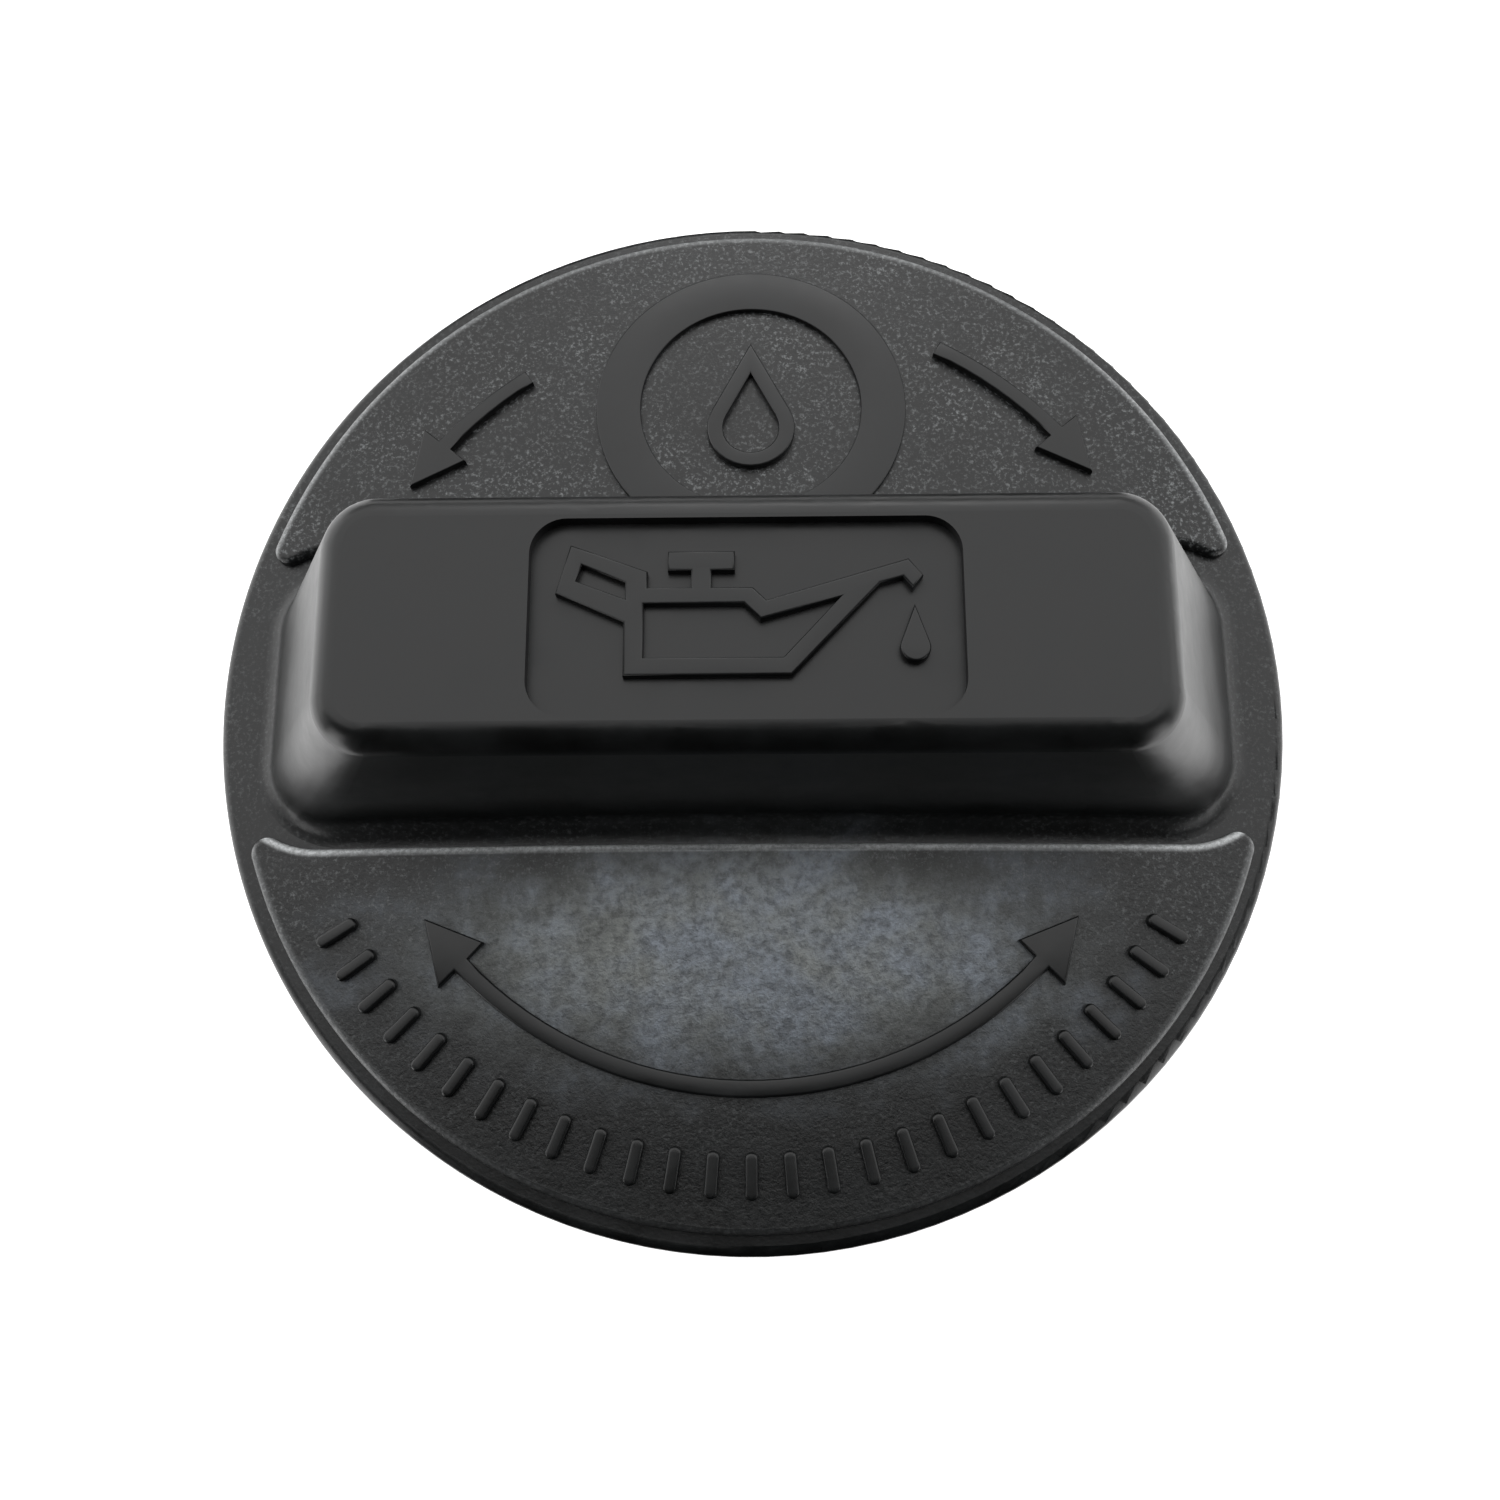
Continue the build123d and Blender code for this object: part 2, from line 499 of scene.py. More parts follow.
    def _painted_sheen(self, tree: Tree, place: Socket, cloud: Socket, marble: Socket, zone: Socket) -> Socket:
        """Gives the painted sheen: a metallic spot in the middle of the near crescent that shines like
        gunmetal.

        Args:
            tree: The material's tree.
            place: Object coordinates.
            cloud: The cloud pattern, which makes the painted sheen's edge ragged.
            marble: The marbling, which breaks the painted sheen up.
            zone: How strongly the surface is stippled.

        Returns:
            How much painted sheen there is, from 0 to 1.
        """
        middle = Vector((*self.painted_sheen_middle, 0.0)) * MM
        reach = (self.painted_sheen_reach[0] * MM, self.painted_sheen_reach[1] * MM, 1.0)
        oval = {"Vector": place, "Location": middle, "Scale": reach}
        spot = add_node(tree, Kind.MAPPING, oval, vector_type="TEXTURE").outputs["Vector"]
        plan = add_node(tree, Kind.VECTOR, {0: spot, 1: FLAT}, operation="MULTIPLY").outputs["Vector"]
        away = add_node(tree, Kind.VECTOR, {0: plan}, operation="LENGTH").outputs["Value"]
        terms = {0: cloud, 1: self.painted_sheen_raggedness, 2: away}
        ragged = add_node(tree, Kind.MATH, terms, operation="MULTIPLY_ADD").outputs["Value"]
        edge = add_node(tree, Kind.RANGE, self.painted_sheen_edge.of(ragged), interpolation_type="SMOOTHSTEP")
        breaks = add_node(tree, Kind.RANGE, self.painted_sheen_breaks.of(marble))
        factors = {0: edge.outputs["Result"], 1: breaks.outputs["Result"]}
        patchy = add_node(tree, Kind.MATH, factors, operation="MULTIPLY").outputs["Value"]
        return add_node(tree, Kind.MATH, {0: patchy, 1: zone}, operation="MULTIPLY").outputs["Value"]

    def _painted_glints(self, tree: Tree, place: Socket, grain: Socket, zones: Zones, colour: Socket) -> Socket:
        """Adds painted glints: pale specks, which lie thicker in some patches than in others.

        Args:
            tree: The material's tree.
            place: Object coordinates.
            grain: The fine grain, whose peaks are the painted glints.
            zones: Where the surface is stippled and how much painted light it gets.
            colour: The colour without the painted glints.

        Returns:
            The colour with the painted glints.
        """
        painted_glint = add_node(tree, Kind.RANGE, self.painted_glint.of(grain)).outputs["Result"]
        spread = add_node(tree, Kind.NOISE, self.patch.at(place)).outputs["Fac"]
        patch = add_node(tree, Kind.RANGE, self.patch_share.of(spread)).outputs["Result"]
        factor = painted_glint
        for share in (patch, zones.painted_light_share, zones.stippled):
            factor = add_node(tree, Kind.MATH, {0: factor, 1: share}, operation="MULTIPLY").outputs["Value"]
        layers = {"Factor": factor, "A": colour, "B": linear(self.painted_glint_colour)}
        return add_node(tree, Kind.MIX, layers, data_type="RGBA").outputs["Result"]

    def _paint_edge_highlights(self, tree: Tree, grain: Socket, painted_edge_highlight: Socket, colour: Socket) -> Socket:
        """Paints highlights on the crescents' edges, stronger in some places than in others.

        Args:
            tree: The material's tree.
            grain: The fine grain, which breaks the painted highlights up.
            painted_edge_highlight: How close the surface is to an edge with a painted highlight.
            colour: The colour without the painted highlights.

        Returns:
            The colour with the painted highlights.
        """
        grained_highlight = add_node(tree, Kind.RANGE, self.painted_highlight_grain.of(grain)).outputs["Result"]
        factor = add_node(tree, Kind.MATH, {0: grained_highlight, 1: painted_edge_highlight}, operation="MULTIPLY").outputs["Value"]
        layers = {"Factor": factor, "A": colour, "B": linear(self.painted_highlight_colour)}
        return add_node(tree, Kind.MIX, layers, data_type="RGBA").outputs["Result"]

    def _stipple(self, tree: Tree, place: Socket, marble: Socket, zone: Socket, skin: Skin) -> Skin:
        """Adds the marbling and the stipple.

        Args:
            tree: The material's tree.
            place: Object coordinates.
            marble: The marbling.
            zone: How strongly the surface is stippled.
            skin: The skin without them.

        Returns:
            The skin with them.
        """
        dull = add_node(tree, Kind.RANGE, self.marble_gloss.of(marble)).outputs["Result"]
        gloss = add_node(tree, Kind.MIX, {"Factor": zone, "A": skin.roughness, "B": dull}).outputs["Result"]
        pits = add_node(tree, Kind.NOISE, self.stipple.at(place)).outputs["Fac"]
        normal = skin.normal
        for height, depth in ((marble, self.marble_depth), (pits, self.stipple_depth)):
            relief = {"Height": height, "Distance": depth * MM, "Strength": zone, "Normal": normal}
            normal = add_node(tree, Kind.BUMP, relief).outputs["Normal"]
        return Skin(skin.colour, gloss, normal)


@dataclass(frozen=True)
class NitrileRubber:
    """Moulded nitrile rubber: dead black, dull, with a powdery bloom."""

    name: str = "moulded_nitrile_rubber"
    roughness: float = 0.72
    ior: float = 1.52
    bloom: Pattern = Pattern(1.6, detail=5.0)
    tint: Tint = Tint(0.4, 0.75, "#171717", "#232424")
    grain: Pattern = Pattern(0.25)
    grain_depth: float = 0.012

    def material(self) -> bpy.types.Material:
        """Builds the material.

        Returns:
            The finished material.
        """
        material, tree, shader = new_material(self.name, {"IOR": self.ior, "Roughness": self.roughness})
        place = add_node(tree, Kind.PLACE).outputs["Object"]
        bloom = add_node(tree, Kind.NOISE, self.bloom.at(place)).outputs["Fac"]
        tint = add_node(tree, Kind.RAMP, {"Fac": bloom})
        self.tint.fill(tint.color_ramp)
        tree.links.new(tint.outputs["Color"], shader.inputs["Base Color"])
        grain = add_node(tree, Kind.NOISE, self.grain.at(place)).outputs["Fac"]
        bump = add_node(tree, Kind.BUMP, {"Height": grain, "Distance": self.grain_depth * MM})
        tree.links.new(bump.outputs["Normal"], shader.inputs["Normal"])
        return material


def on_circle(centre: Point, radius: float, angle: float) -> Point:
    """Gives the point of a circle at an angle in degrees from +X."""
    turn = math.radians(angle)
    return centre[0] + radius * math.cos(turn), centre[1] + radius * math.sin(turn)


def arc(centre: Point, radius: float, start: float, end: float, step: float = 3.0) -> Outline:
    """Gives points along an arc.

    Args:
        centre: The arc's centre in plan.
        radius: Its radius.
        start: The first point's angle in degrees from +X.
        end: The last point's angle.
        step: The most degrees between two points.

    Returns:
        The points, both ends included.
    """
    count = max(2, math.ceil(abs(end - start) / step))
    return [on_circle(centre, radius, start + (end - start) * i / count) for i in range(count + 1)]


def drop(tip: Point, belly: Point, radius: float, step: float = 12.0) -> Outline:
    """Gives the outline of a drop: a round belly with straight sides up to its tip.

    Args:
        tip: The pointed end.
        belly: The centre of the round end, straight below the tip.
        radius: The belly's radius.
        step: The most degrees between two points of the belly.

    Returns:
        The closed outline, without its first point repeated.
    """
    lean = math.degrees(math.acos(radius / (tip[1] - belly[1])))
    return [tip, *arc(belly, radius, 90 + lean, 450 - lean, step)]


@dataclass(frozen=True)
class Relief:
    """Raised strokes of the moulding: outlines made thick, rounded at the top and laid on a surface."""

    height: float
    edge_round: float
    edge_steps: int = 3
    sink: float = 0.15
    smooth_below: float = 50.0
    weld: float = 0.0005
    flat_above: float = 0.999

    def mesh(self, name: str, outlines: Iterable[Outline], surface: Surface) -> bpy.types.Mesh:
        """Builds the mesh in metres.

        Args:
            name: The mesh's name.
            outlines: Closed outlines in plan; one inside another is a hole.
            surface: The level of the surface under them.

        Returns:
            A closed mesh, in place.
        """
        curve = bpy.data.curves.new(name, "CURVE")
        curve.dimensions = "2D"
        curve.fill_mode = "BOTH"
        curve.extrude = (self.height + self.sink) / 2 - self.edge_round
        curve.bevel_depth = self.edge_round
        curve.bevel_resolution = self.edge_steps
        curve.offset = -self.edge_round
        for outline in outlines:
            spline = curve.splines.new("POLY")
            spline.points.add(len(outline) - 1)
            for point, (x, y) in zip(spline.points, outline):
                point.co = (x, y, 0.0, 1.0)
            spline.use_cyclic_u = True
        flat = bpy.data.objects.new(name, curve)
        bpy.context.scene.collection.objects.link(flat)
        graph = bpy.context.evaluated_depsgraph_get()
        mesh = bpy.data.meshes.new_from_object(flat.evaluated_get(graph))
        bpy.data.objects.remove(flat)
        self._lay(mesh, surface)
        mesh.polygons.foreach_set("use_smooth", [True] * len(mesh.polygons))
        mesh.set_sharp_from_angle(angle=math.radians(self.smooth_below))
        mesh.update()
        return mesh

    def _lay(self, mesh: bpy.types.Mesh, surface: Surface) -> None:
        """Closes the mesh, turns its faces outwards and lays it on the surface.

        Args:
            mesh: The flat strokes in millimetres, centred on z = 0.
            surface: The level of the surface under them.
        """
        lift = (self.height - self.sink) / 2
        solid = bmesh.new()
        solid.from_mesh(mesh)
        bmesh.ops.remove_doubles(solid, verts=solid.verts, dist=self.weld)
        bmesh.ops.recalc_face_normals(solid, faces=solid.faces)
        tops = [face for face in solid.faces if abs(face.normal.z) > self.flat_above]
        inner = [edge for edge in solid.edges if all(f in tops for f in edge.link_faces)]
        bmesh.ops.beautify_fill(solid, faces=tops, edges=inner)
        for vertex in solid.verts:
            x, y, z = vertex.co
            vertex.co = Vector((x, y, z + lift + surface(x, y))) * MM
        solid.to_mesh(mesh)
        solid.free()


def add_piece(name: str, mesh: bpy.types.Mesh, material: bpy.types.Material) -> None:
    """Puts a finished mesh into the scene as a piece of the cap's plastic.

    Args:
        name: The piece's name.
        mesh: Its mesh, in the part's frame.
        material: Its finish.
    """
    mesh.materials.clear()
    mesh.materials.append(material)
    piece = bpy.data.objects.new(name, mesh)
    bpy.context.scene.collection.objects.link(piece)
    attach(piece, "root")
    LOG.info("%s: %d faces", name, len(mesh.polygons))


@dataclass(frozen=True)
class DressedSolid:
    """A solid that keeps its shape and gets a finish."""

    node: Node
    finish: PolishedNylon | NitrileRubber

    def dress(self) -> None:
        """Gives the solid its finish."""
        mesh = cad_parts[self.node.value].data
        mesh.materials.clear()
        mesh.materials.append(self.finish.material())
        LOG.info("%s: dressed in %s", self.node.value, self.finish.name)


@dataclass
class OilCanSign:
    """The common sign for engine oil, raised in the grip's panel: a can with a knob, a handle and a drop."""

    relief: Relief = Relief(height=0.5, edge_round=0.12)
    top_stroke: float = 0.72
    side_stroke: float = 0.828
    foot_stroke: float = 0.792
    body_left: float = -5.08
    body_top: float = 1.28
    body_bottom: float = -2.55
    body_toe: float = 1.9
    handle_right: float = -4.1
    handle_foot: float = -0.24
    handle_low: Point = (-7.95, 1.05)
    handle_high: Point = (-7.35, 3.2)
    handle_root: float = 2.0
    handle_window: tuple[Point, ...] = ((-6.85, 2.28), (-5.05, 1.5), (-5.02, 0.8), (-7.1, 1.6))
    knob_middle: float = -1.86
    knob_top: float = 2.88
    knob_thickness: float = 0.864
    knob_half_width: float = 1.4
    knob_stem_half_width: float = 0.43
    shoulder: float = 0.3
    spout_root: Point = (0.85, 0.72)
    spout_top: Point = (6.8, 2.5)
    spout_tip: Point = (7.4, 1.75)
    spout_mouth: Point = (6.95, 1.15)
    spout_throat: Point = (6.55, 1.67)
    spout_under: Point = (5.6, 1.4)
    window_shoulder: float = -0.1
    window_root: Point = (0.6, -0.15)
    window_point: Point = (3.9, 0.8)
    window_toe: float = 1.55
    drop_tip: Point = (7.0, 0.5)
    drop_belly: Point = (6.98, -1.37)
    drop_radius: float = 0.64

    def _can(self) -> Outline:
        """Draws the can.

        Returns:
            Its outer outline, from the handle round over the knob and the spout.
        """
        root = [(self.handle_right, self.handle_root), (self.handle_right, self.body_top)]
        handle = [(self.body_left, self.handle_foot), self.handle_low, self.handle_high, *root]
        under = self.knob_top - self.knob_thickness
        stem = [(self.knob_stem_half_width, self.body_top), (self.knob_stem_half_width, under)]
        half = [*stem, (self.knob_half_width, under), (self.knob_half_width, self.knob_top)]
        knob = [(self.knob_middle - x, y) for x, y in half]
        knob += [(self.knob_middle + x, y) for x, y in reversed(half)]
        neck = [(self.shoulder, self.body_top), self.spout_root]
        spout = [self.spout_top, self.spout_tip, self.spout_mouth, self.spout_throat, self.spout_under]
        foot = [(self.body_toe, self.body_bottom), (self.body_left, self.body_bottom)]
        return handle + knob + neck + spout + foot

    def _window(self) -> Outline:
        """Draws the opening in the can's body.

        Returns:
            Its outline, along the top first.
        """
        left = self.body_left + self.side_stroke
        top = self.body_top - self.top_stroke
        bottom = self.body_bottom + self.foot_stroke
        roof = [(left, top), (self.window_shoulder, top), self.window_root, self.window_point]
        return roof + [(self.window_toe, bottom), (left, bottom)]

    def build(self, material: bpy.types.Material) -> None:
        """Builds the can and its drop.

        Args:
            material: Their finish.
        """
        outlines = [self._can(), self._window(), list(self.handle_window)]
        can = self.relief.mesh("oil_can_sign", outlines, HEAD.panel)
        add_piece("oil_can_sign", can, material)
        outline = drop(self.drop_tip, self.drop_belly, self.drop_radius)
        fall = self.relief.mesh("oil_drop_sign", [outline], HEAD.panel)
        add_piece("oil_drop_sign", fall, material)


@dataclass
class Roundel:
    """A plain raised ring on the far crescent, cut off along the channel, around a raised oil drop."""

    ring_relief: Relief = Relief(height=0.28, edge_round=0.08)
    drop_relief: Relief = Relief(height=0.42, edge_round=0.12)
    centre: Point = (0.1, 14.75)
    inner_radius: float = 5.56
    outer_radius: float = 7.8
    lip_gap: float = 0.05
    drop_length: float = 7.0
    drop_radius: float = 2.2
    drop_stroke: float = 0.8

    def _ring(self) -> list[Outline]:
        """Draws the ring.

        Returns:
            Its outer outline, closed by the straight cut, and its inner one.
        """
        chord = HEAD.channel_half_width + HEAD.crescent_edge_round + self.lip_gap
        dip = math.degrees(math.asin((self.centre[1] - chord) / self.outer_radius))
        outer = arc(self.centre, self.outer_radius, -dip, 180 + dip)
        inner = arc(self.centre, self.inner_radius, 0.0, 360.0)[:-1]
        return [outer, inner]

    def _drop(self) -> list[Outline]:
        """Draws the drop in the ring's middle.

        Returns:
            Its outer and inner outlines, an even stroke apart.
        """
        x, y = self.centre
        rise = self.drop_length - self.drop_radius
        tip = y + self.drop_length / 2
        belly = (x, tip - rise)
        inset = self.drop_stroke * rise / self.drop_radius
        outer = drop((x, tip), belly, self.drop_radius)
        inner = drop((x, tip - inset), belly, self.drop_radius - self.drop_stroke)
        return [outer, inner]

    def build(self, material: bpy.types.Material) -> None:
        """Builds the ring and the drop.

        Args:
            material: Their finish.
        """
        ring = self.ring_relief.mesh("roundel_ring", self._ring(), HEAD.crescent)
        add_piece("roundel_ring", ring, material)
        fall = self.drop_relief.mesh("roundel_drop", self._drop(), HEAD.crescent)
        add_piece("roundel_drop", fall, material)


@dataclass
class TurnArrow:
    """A raised arrow along an arc about the cap's axis, which shows the way to turn."""

    name: str
    radius: float
    start: float
    end: float
    heads: Heads
    stroke: float = 0.8
    head_length: float = 2.8
    head_half_width: float = 1.45
    relief: Relief = Relief(height=0.42, edge_round=0.12)

    def _outline(self) -> Outline:
        """Draws the arrow.

        Returns:
            Its outline, along its outer side first.
        """
        turn = math.degrees(self.head_length / self.radius)
        first = self.start + (0 if self.heads is Heads.END else turn)
        last = self.end - (0 if self.heads is Heads.START else turn)
        outline = arc(AXIS, self.radius + self.stroke / 2, first, last)
        if self.heads is not Heads.START:
            outline += self._head(last, self.end)
        outline += arc(AXIS, self.radius - self.stroke / 2, last, first)
        if self.heads is not Heads.END:
            outline += self._head(first, self.start)[::-1]
        return outline

    def _head(self, base: float, tip: float) -> Outline:
        """Gives an arrow head's three corners from its outer one to its inner one.

        Args:
            base: The angle of the head's wide end.
            tip: The angle of its point.

        Returns:
            The corners.
        """
        return [
            on_circle(AXIS, self.radius + self.head_half_width, base),
            on_circle(AXIS, self.radius, tip),
            on_circle(AXIS, self.radius - self.head_half_width, base),
        ]

    def build(self, material: bpy.types.Material) -> None:
        """Builds the arrow.

        Args:
            material: Its finish.
        """
        mesh = self.relief.mesh(self.name, [self._outline()], HEAD.crescent)
        add_piece(self.name, mesh, material)


@dataclass
class IndexRibs:
    """A row of short raised ribs near the rim of the near crescent, laid out by Geometry Nodes."""

    name: str = "index_ribs"
    count: int = 27
    middle_radius: float = 22.45
    length: float = 2.1
    width: float = 0.6
    half_span: float = 59.0
    end_step: float = 15.0
    row_resolution: int = 128
    relief: Relief = Relief(height=0.42, edge_round=0.14)

    def _rib(self) -> bpy.types.Object:
        """Builds one rib.

        Returns:
            The rib, at the origin and lying along X.
        """
        end = self.width / 2
        straight = self.length / 2 - end
        outline = arc((straight, 0.0), end, -90, 90, self.end_step)
        outline += arc((-straight, 0.0), end, 90, 270, self.end_step)
        rib = bpy.data.objects.new("index_rib", self.relief.mesh("index_rib", [outline], lambda x, y: 0.0))
        bpy.context.scene.collection.objects.link(rib)
        return rib

    def _tree(self) -> bpy.types.GeometryNodeTree:
        """Builds the tree that sets ribs along an arc and stands each on the dome.

        Returns:
            The tree, whose inputs are the rib, the row's sizes, the dome's centre and the finish.
        """
        tree = bpy.data.node_groups.new("ribs_on_dome", "GeometryNodeTree")
        kinds = {
            "Rib": "NodeSocketObject",
            "Count": "NodeSocketInt",
            "Radius": "NodeSocketFloat",
            "Level": "NodeSocketFloat",
            "Start": "NodeSocketFloat",
            "Sweep": "NodeSocketFloat",
            "Dome centre": "NodeSocketVector",
            "Finish": "NodeSocketMaterial",
        }
        tree.interface.new_socket("Geometry", in_out="OUTPUT", socket_type="NodeSocketGeometry")
        for name, kind in kinds.items():
            tree.interface.new_socket(name, in_out="INPUT", socket_type=kind)
        given = add_node(tree, Kind.GIVEN).outputs
        angles = {"Start Angle": given["Start"], "Sweep Angle": given["Sweep"]}
        bow = {"Resolution": self.row_resolution, "Radius": given["Radius"], **angles}
        row = add_node(tree, Kind.ARC, bow, mode="RADIUS").outputs["Curve"]
        stops = add_node(tree, Kind.POINTS, {"Curve": row, "Count": given["Count"]}, mode="COUNT")
        lift = add_node(tree, Kind.JOIN, {"Z": given["Level"]}).outputs["Vector"]
        laid = add_node(tree, Kind.MOVE, {"Geometry": stops.outputs["Points"], "Offset": lift})
        here = add_node(tree, Kind.POSITION).outputs["Position"]
        upward = add_node(tree, Kind.VECTOR, {0: here, 1: given["Dome centre"]}, operation="SUBTRACT")
        upright = add_node(tree, Kind.ALIGN, {"Vector": upward.outputs["Vector"]}, axis="Z")
        turned = {"Rotation": upright.outputs["Rotation"], "Vector": here}
        outward = add_node(tree, Kind.ALIGN, turned, axis="X", pivot_axis="Z").outputs["Rotation"]
        rib = add_node(tree, Kind.OBJECT, {"Object": given["Rib"]}).outputs["Geometry"]
        places = {"Points": laid.outputs["Geometry"], "Instance": rib, "Rotation": outward}
        ribs = add_node(tree, Kind.INSTANCES, places).outputs["Instances"]
        solid = add_node(tree, Kind.REALIZE, {"Geometry": ribs}).outputs["Geometry"]
        finished = add_node(tree, Kind.FINISH, {"Geometry": solid, "Material": given["Finish"]})
        add_node(tree, Kind.RESULT, {"Geometry": finished.outputs["Geometry"]})
        return tree

    def build(self, material: bpy.types.Material) -> None:
        """Builds the row as one plain mesh.

        Args:
            material: Its finish.
        """
        rib = self._rib()
        tree = self._tree()
        values = {
            "Rib": rib,
            "Count": self.count,
            "Radius": self.middle_radius * MM,
            "Level": HEAD.crescent(self.middle_radius, 0.0) * MM,
            "Start": math.radians(-90 - self.half_span),
            "Sweep": math.radians(2 * self.half_span),
            "Dome centre": (0.0, 0.0, HEAD.dome_centre * MM),
            "Finish": material,
        }
        carrier = bpy.data.objects.new("ribs_carrier", bpy.data.meshes.new("ribs_carrier"))
        bpy.context.scene.collection.objects.link(carrier)
        modifier = carrier.modifiers.new("ribs_on_dome", "NODES")
        modifier.node_group = tree
        for item in tree.interface.items_tree:
            if item.in_out == "INPUT":
                modifier[item.identifier] = values[item.name]
        graph = bpy.context.evaluated_depsgraph_get()
        mesh = bpy.data.meshes.new_from_object(carrier.evaluated_get(graph))
        mesh.name = self.name
        for helper in (carrier, rib):
            bpy.data.objects.remove(helper)
        add_piece(self.name, mesh, material)


def add_sheet(name: str, corners: list[Place], material: bpy.types.Material) -> bpy.types.Object:
    """Puts a flat sheet with four corners into the scene as a piece of the studio.

    Args:
        name: The sheet's name.
        corners: Its corners in order, in millimetres.
        material: Its finish.

    Returns:
        The sheet.
    """
    mesh = bpy.data.meshes.new(name)
    mesh.from_pydata([Vector(corner) * MM for corner in corners], [], [(0, 1, 2, 3)])
    mesh.materials.append(material)
    sheet = bpy.data.objects.new(name, mesh)
    bpy.context.scene.collection.objects.link(sheet)
    return sheet


@dataclass(frozen=True)
class SoftBox:
    """A rectangular studio lamp, given by the brightness of its face, where 1 is white."""

    name: str
    location: Place
    target: Place
    width: float
    depth: float
    brightness: float

    def build(self) -> None:
        """Adds the lamp to the scene."""
        lamp = bpy.data.lights.new(self.name, "AREA")
        lamp.shape = "RECTANGLE"
        lamp.size = self.width * MM
        lamp.size_y = self.depth * MM
        lamp.energy = self.brightness * math.pi * lamp.size * lamp.size_y
        item = bpy.data.objects.new(self.name, lamp)
        item.location = Vector(self.location) * MM
        away = Vector(self.location) - Vector(self.target)
        item.rotation_euler = away.to_track_quat("Z", "Y").to_euler()
        item.visible_camera = False
        bpy.context.scene.collection.objects.link(item)


@dataclass(frozen=True)
class BlackCard:
    """A card of dead black flock that stands on the table and that only the cap's gloss sees."""

    name: str
    place: float
    width: float
    height: float
    colour: str = "#050505"

    def build(self) -> None:
        """Adds the card to the scene."""
        flock = {"Base Color": linear(self.colour), "Roughness": 1.0, "Specular IOR Level": 0.0}
        material, _, _ = new_material("black_flock_" + self.name, flock)
        half, y, top = self.width / 2, self.place, self.height
        corners = [(-half, y, 0.0), (half, y, 0.0), (half, y, top), (-half, y, top)]
        card = add_sheet(self.name, corners, material)
        card.visible_camera = False
        card.visible_diffuse = False
        card.visible_shadow = False


@dataclass
class Studio:
    """A white table under a soft tent, which is open and dark on the camera's side and low down."""

    floor_size: float = 4000.0
    floor_colour: str = "#f4f4f4"
    floor_roughness: float = 0.9
    floor_specular: float = 0.1
    floor_lift: float = 0.7
    gloss_lift: float = 0.85
    front_to_top: Span = Span(-0.15, -0.04, 0.02, 1.36)
    low_to_high: Span = Span(0.1, 0.5, 0.1, 1.0)
    cards: tuple[BlackCard, ...] = (
        BlackCard("front_card", place=-40.0, width=80.0, height=60.0),
        BlackCard("back_card", place=42.0, width=60.0, height=26.0),
    )
    lamps: tuple[SoftBox, ...] = (
        SoftBox("front_left_strip", (-130.0, -90.0, 50.0), (0.0, 0.0, 20.0), 50.0, 100.0, brightness=2.6),
        SoftBox("front_right_strip", (130.0, -90.0, 50.0), (0.0, 0.0, 20.0), 50.0, 100.0, brightness=2.2),
        SoftBox("back_strip", (5.0, 160.0, 120.0), (5.0, 20.0, 24.0), 90.0, 40.0, brightness=2.2),
        SoftBox("left_softbox", (-160.0, 50.0, 50.0), (-20.0, 10.0, 20.0), 200.0, 100.0, brightness=1.3),
        SoftBox("right_softbox", (160.0, 50.0, 50.0), (20.0, 10.0, 20.0), 200.0, 100.0, brightness=0.8),
    )

    def _floor(self) -> None:
        """Adds the table's matt laminate top, which looks white and still takes the cap's shadow."""
        laminate = {
            "Base Color": linear(self.floor_colour),
            "Roughness": self.floor_roughness,
            "Specular IOR Level": self.floor_specular,
            "Emission Color": linear(WHITE),
        }
        material, tree, shader = new_material("white_table_laminate", laminate)
        rays = add_node(tree, Kind.RAYS).outputs
        straight = {0: rays["Is Camera Ray"], 1: rays["Is Transmission Ray"]}
        seen = add_node(tree, Kind.MATH, straight, operation="MAXIMUM").outputs["Value"]
        white = {0: seen, 1: self.floor_lift}
        shown = add_node(tree, Kind.MATH, white, operation="MULTIPLY").outputs["Value"]
        terms = {0: rays["Is Glossy Ray"], 1: self.gloss_lift, 2: shown}
        lift = add_node(tree, Kind.MATH, terms, operation="MULTIPLY_ADD").outputs["Value"]
        tree.links.new(lift, shader.inputs["Emission Strength"])
        half = self.floor_size / 2
        corners = [(-half, -half, 0.0), (half, -half, 0.0), (half, half, 0.0), (-half, half, 0.0)]
        add_sheet("table_top", corners, material)

    def _room(self) -> None:
        """Sets the room: bright above and behind the cap, dark on the camera's side, dim low down."""
        world = bpy.data.worlds.new("studio_room")
        world.use_nodes = True
        bpy.context.scene.world = world
        tree = world.node_tree
        background = tree.nodes["Background"]
        way = add_node(tree, Kind.PLACE).outputs["Generated"]
        axes = add_node(tree, Kind.SPLIT, {"Vector": way}).outputs
        level = add_node(tree, Kind.RANGE, self.front_to_top.of(axes["Y"]), interpolation_type="SMOOTHSTEP")
        rise = add_node(tree, Kind.RANGE, self.low_to_high.of(axes["Z"]), interpolation_type="SMOOTHSTEP")
        factors = {0: level.outputs["Result"], 1: rise.outputs["Result"]}
        tent = add_node(tree, Kind.MATH, factors, operation="MULTIPLY").outputs["Value"]
        seen = add_node(tree, Kind.RAYS).outputs["Is Camera Ray"]
        strength = add_node(tree, Kind.MATH, {0: tent, 1: seen}, operation="MAXIMUM").outputs["Value"]
        background.inputs["Color"].default_value = linear(WHITE)
        tree.links.new(strength, background.inputs["Strength"])

    def build(self) -> None:
        """Builds the table, the cards, the lamps and the room."""
        self._floor()
        for item in (*self.cards, *self.lamps):
            item.build()
        self._room()
        LOG.info("studio: %d lamps", len(self.lamps))


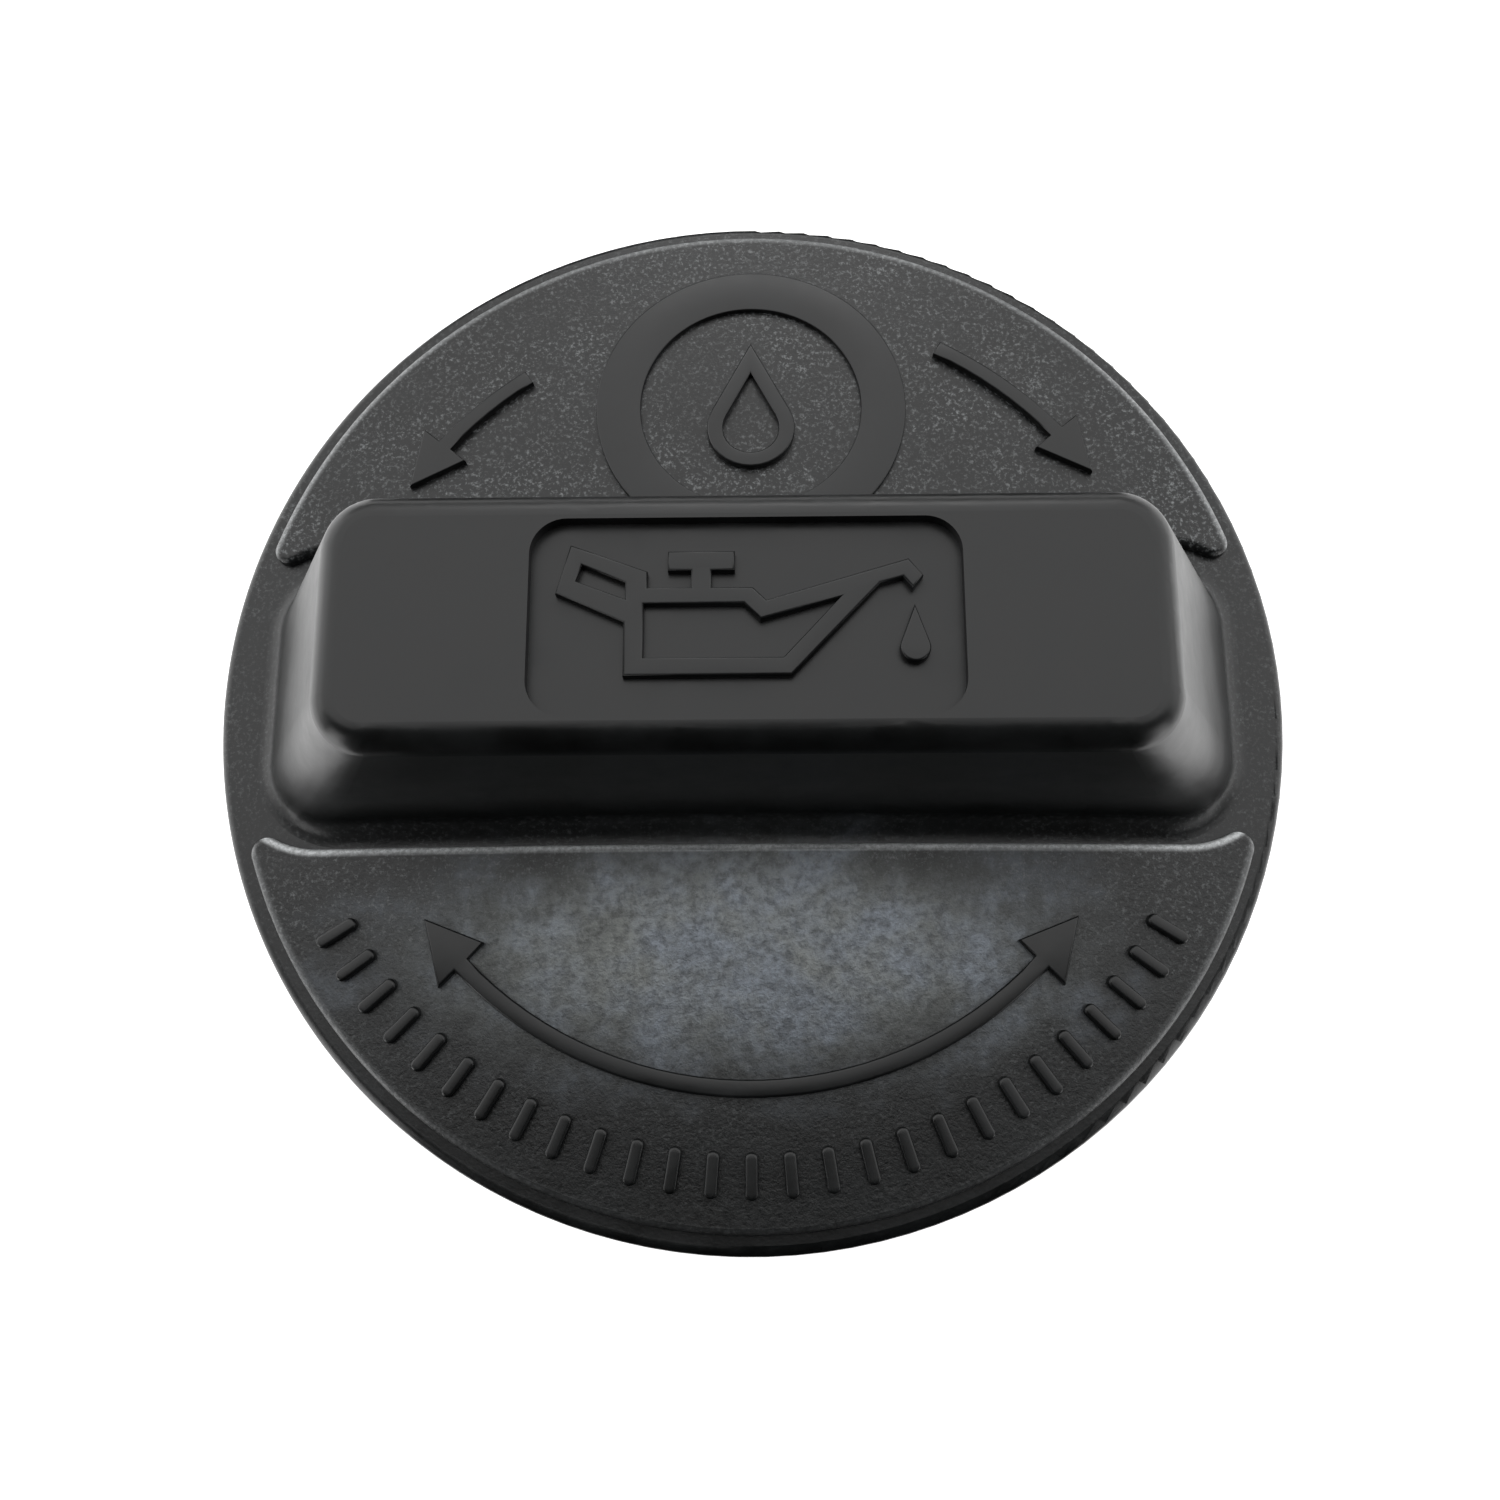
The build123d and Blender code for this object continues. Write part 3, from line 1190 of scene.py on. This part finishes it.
@dataclass
class PhotoCamera:
    """The photograph's viewpoint: angles about the cap, distance, and the lens in the picture's pixels."""

    azimuth: float = 2.81
    elevation: float = 74.57
    roll: float = -3.12
    distance: float = 78.0
    target_height: float = 22.45
    picture: float = 1500.0
    focal_pixels: float = 1587.0
    centre_pixels: Point = (750.4, 698.3)
    sensor: float = 36.0
    nearest: float = 1.0
    farthest: float = 20000.0

    def build(self) -> None:
        """Adds the camera and makes it the scene's."""
        turn, rise, roll = (math.radians(a) for a in (self.azimuth, self.elevation, self.roll))
        back = Vector((math.sin(turn) * math.cos(rise), -math.cos(turn) * math.cos(rise), math.sin(rise)))
        level = Vector((math.cos(turn), math.sin(turn), 0.0))
        upright = back.cross(level)
        right = math.cos(roll) * level + math.sin(roll) * upright
        up = math.cos(roll) * upright - math.sin(roll) * level
        eye = (back * self.distance + Vector((0.0, 0.0, self.target_height))) * MM
        lens = bpy.data.cameras.new("photo_camera")
        lens.sensor_width = self.sensor
        lens.lens = self.sensor * self.focal_pixels / self.picture
        lens.shift_x = 0.5 - self.centre_pixels[0] / self.picture
        lens.shift_y = self.centre_pixels[1] / self.picture - 0.5
        lens.clip_start = self.nearest * MM
        lens.clip_end = self.farthest * MM
        camera = bpy.data.objects.new("photo_camera", lens)
        camera.matrix_world = Matrix.Translation(eye) @ Matrix((right, up, back)).transposed().to_4x4()
        bpy.context.scene.collection.objects.link(camera)
        bpy.context.scene.camera = camera


def main() -> None:
    """Builds the cap's looks, the studio and the camera."""
    logging.basicConfig(level=logging.INFO, format="%(name)s %(message)s")
    bpy.context.scene.view_settings.view_transform = "Standard"
    DressedSolid(Node.BODY, MouldedNylon()).dress()
    DressedSolid(Node.SEAL, NitrileRubber()).dress()
    polished = PolishedNylon().material()
    OilCanSign().build(polished)
    Roundel().build(polished)
    for arrow in (
        TurnArrow("open_arrow", radius=20.0, start=124.0, end=148.0, heads=Heads.END),
        TurnArrow("close_arrow", radius=20.4, start=33.0, end=62.0, heads=Heads.START),
        TurnArrow("turn_arrow", radius=18.7, start=-144.0, end=-36.0, heads=Heads.BOTH),
    ):
        arrow.build(polished)
    IndexRibs().build(polished)
    Studio().build()
    PhotoCamera().build()


if __name__ == "__main__":
    main()
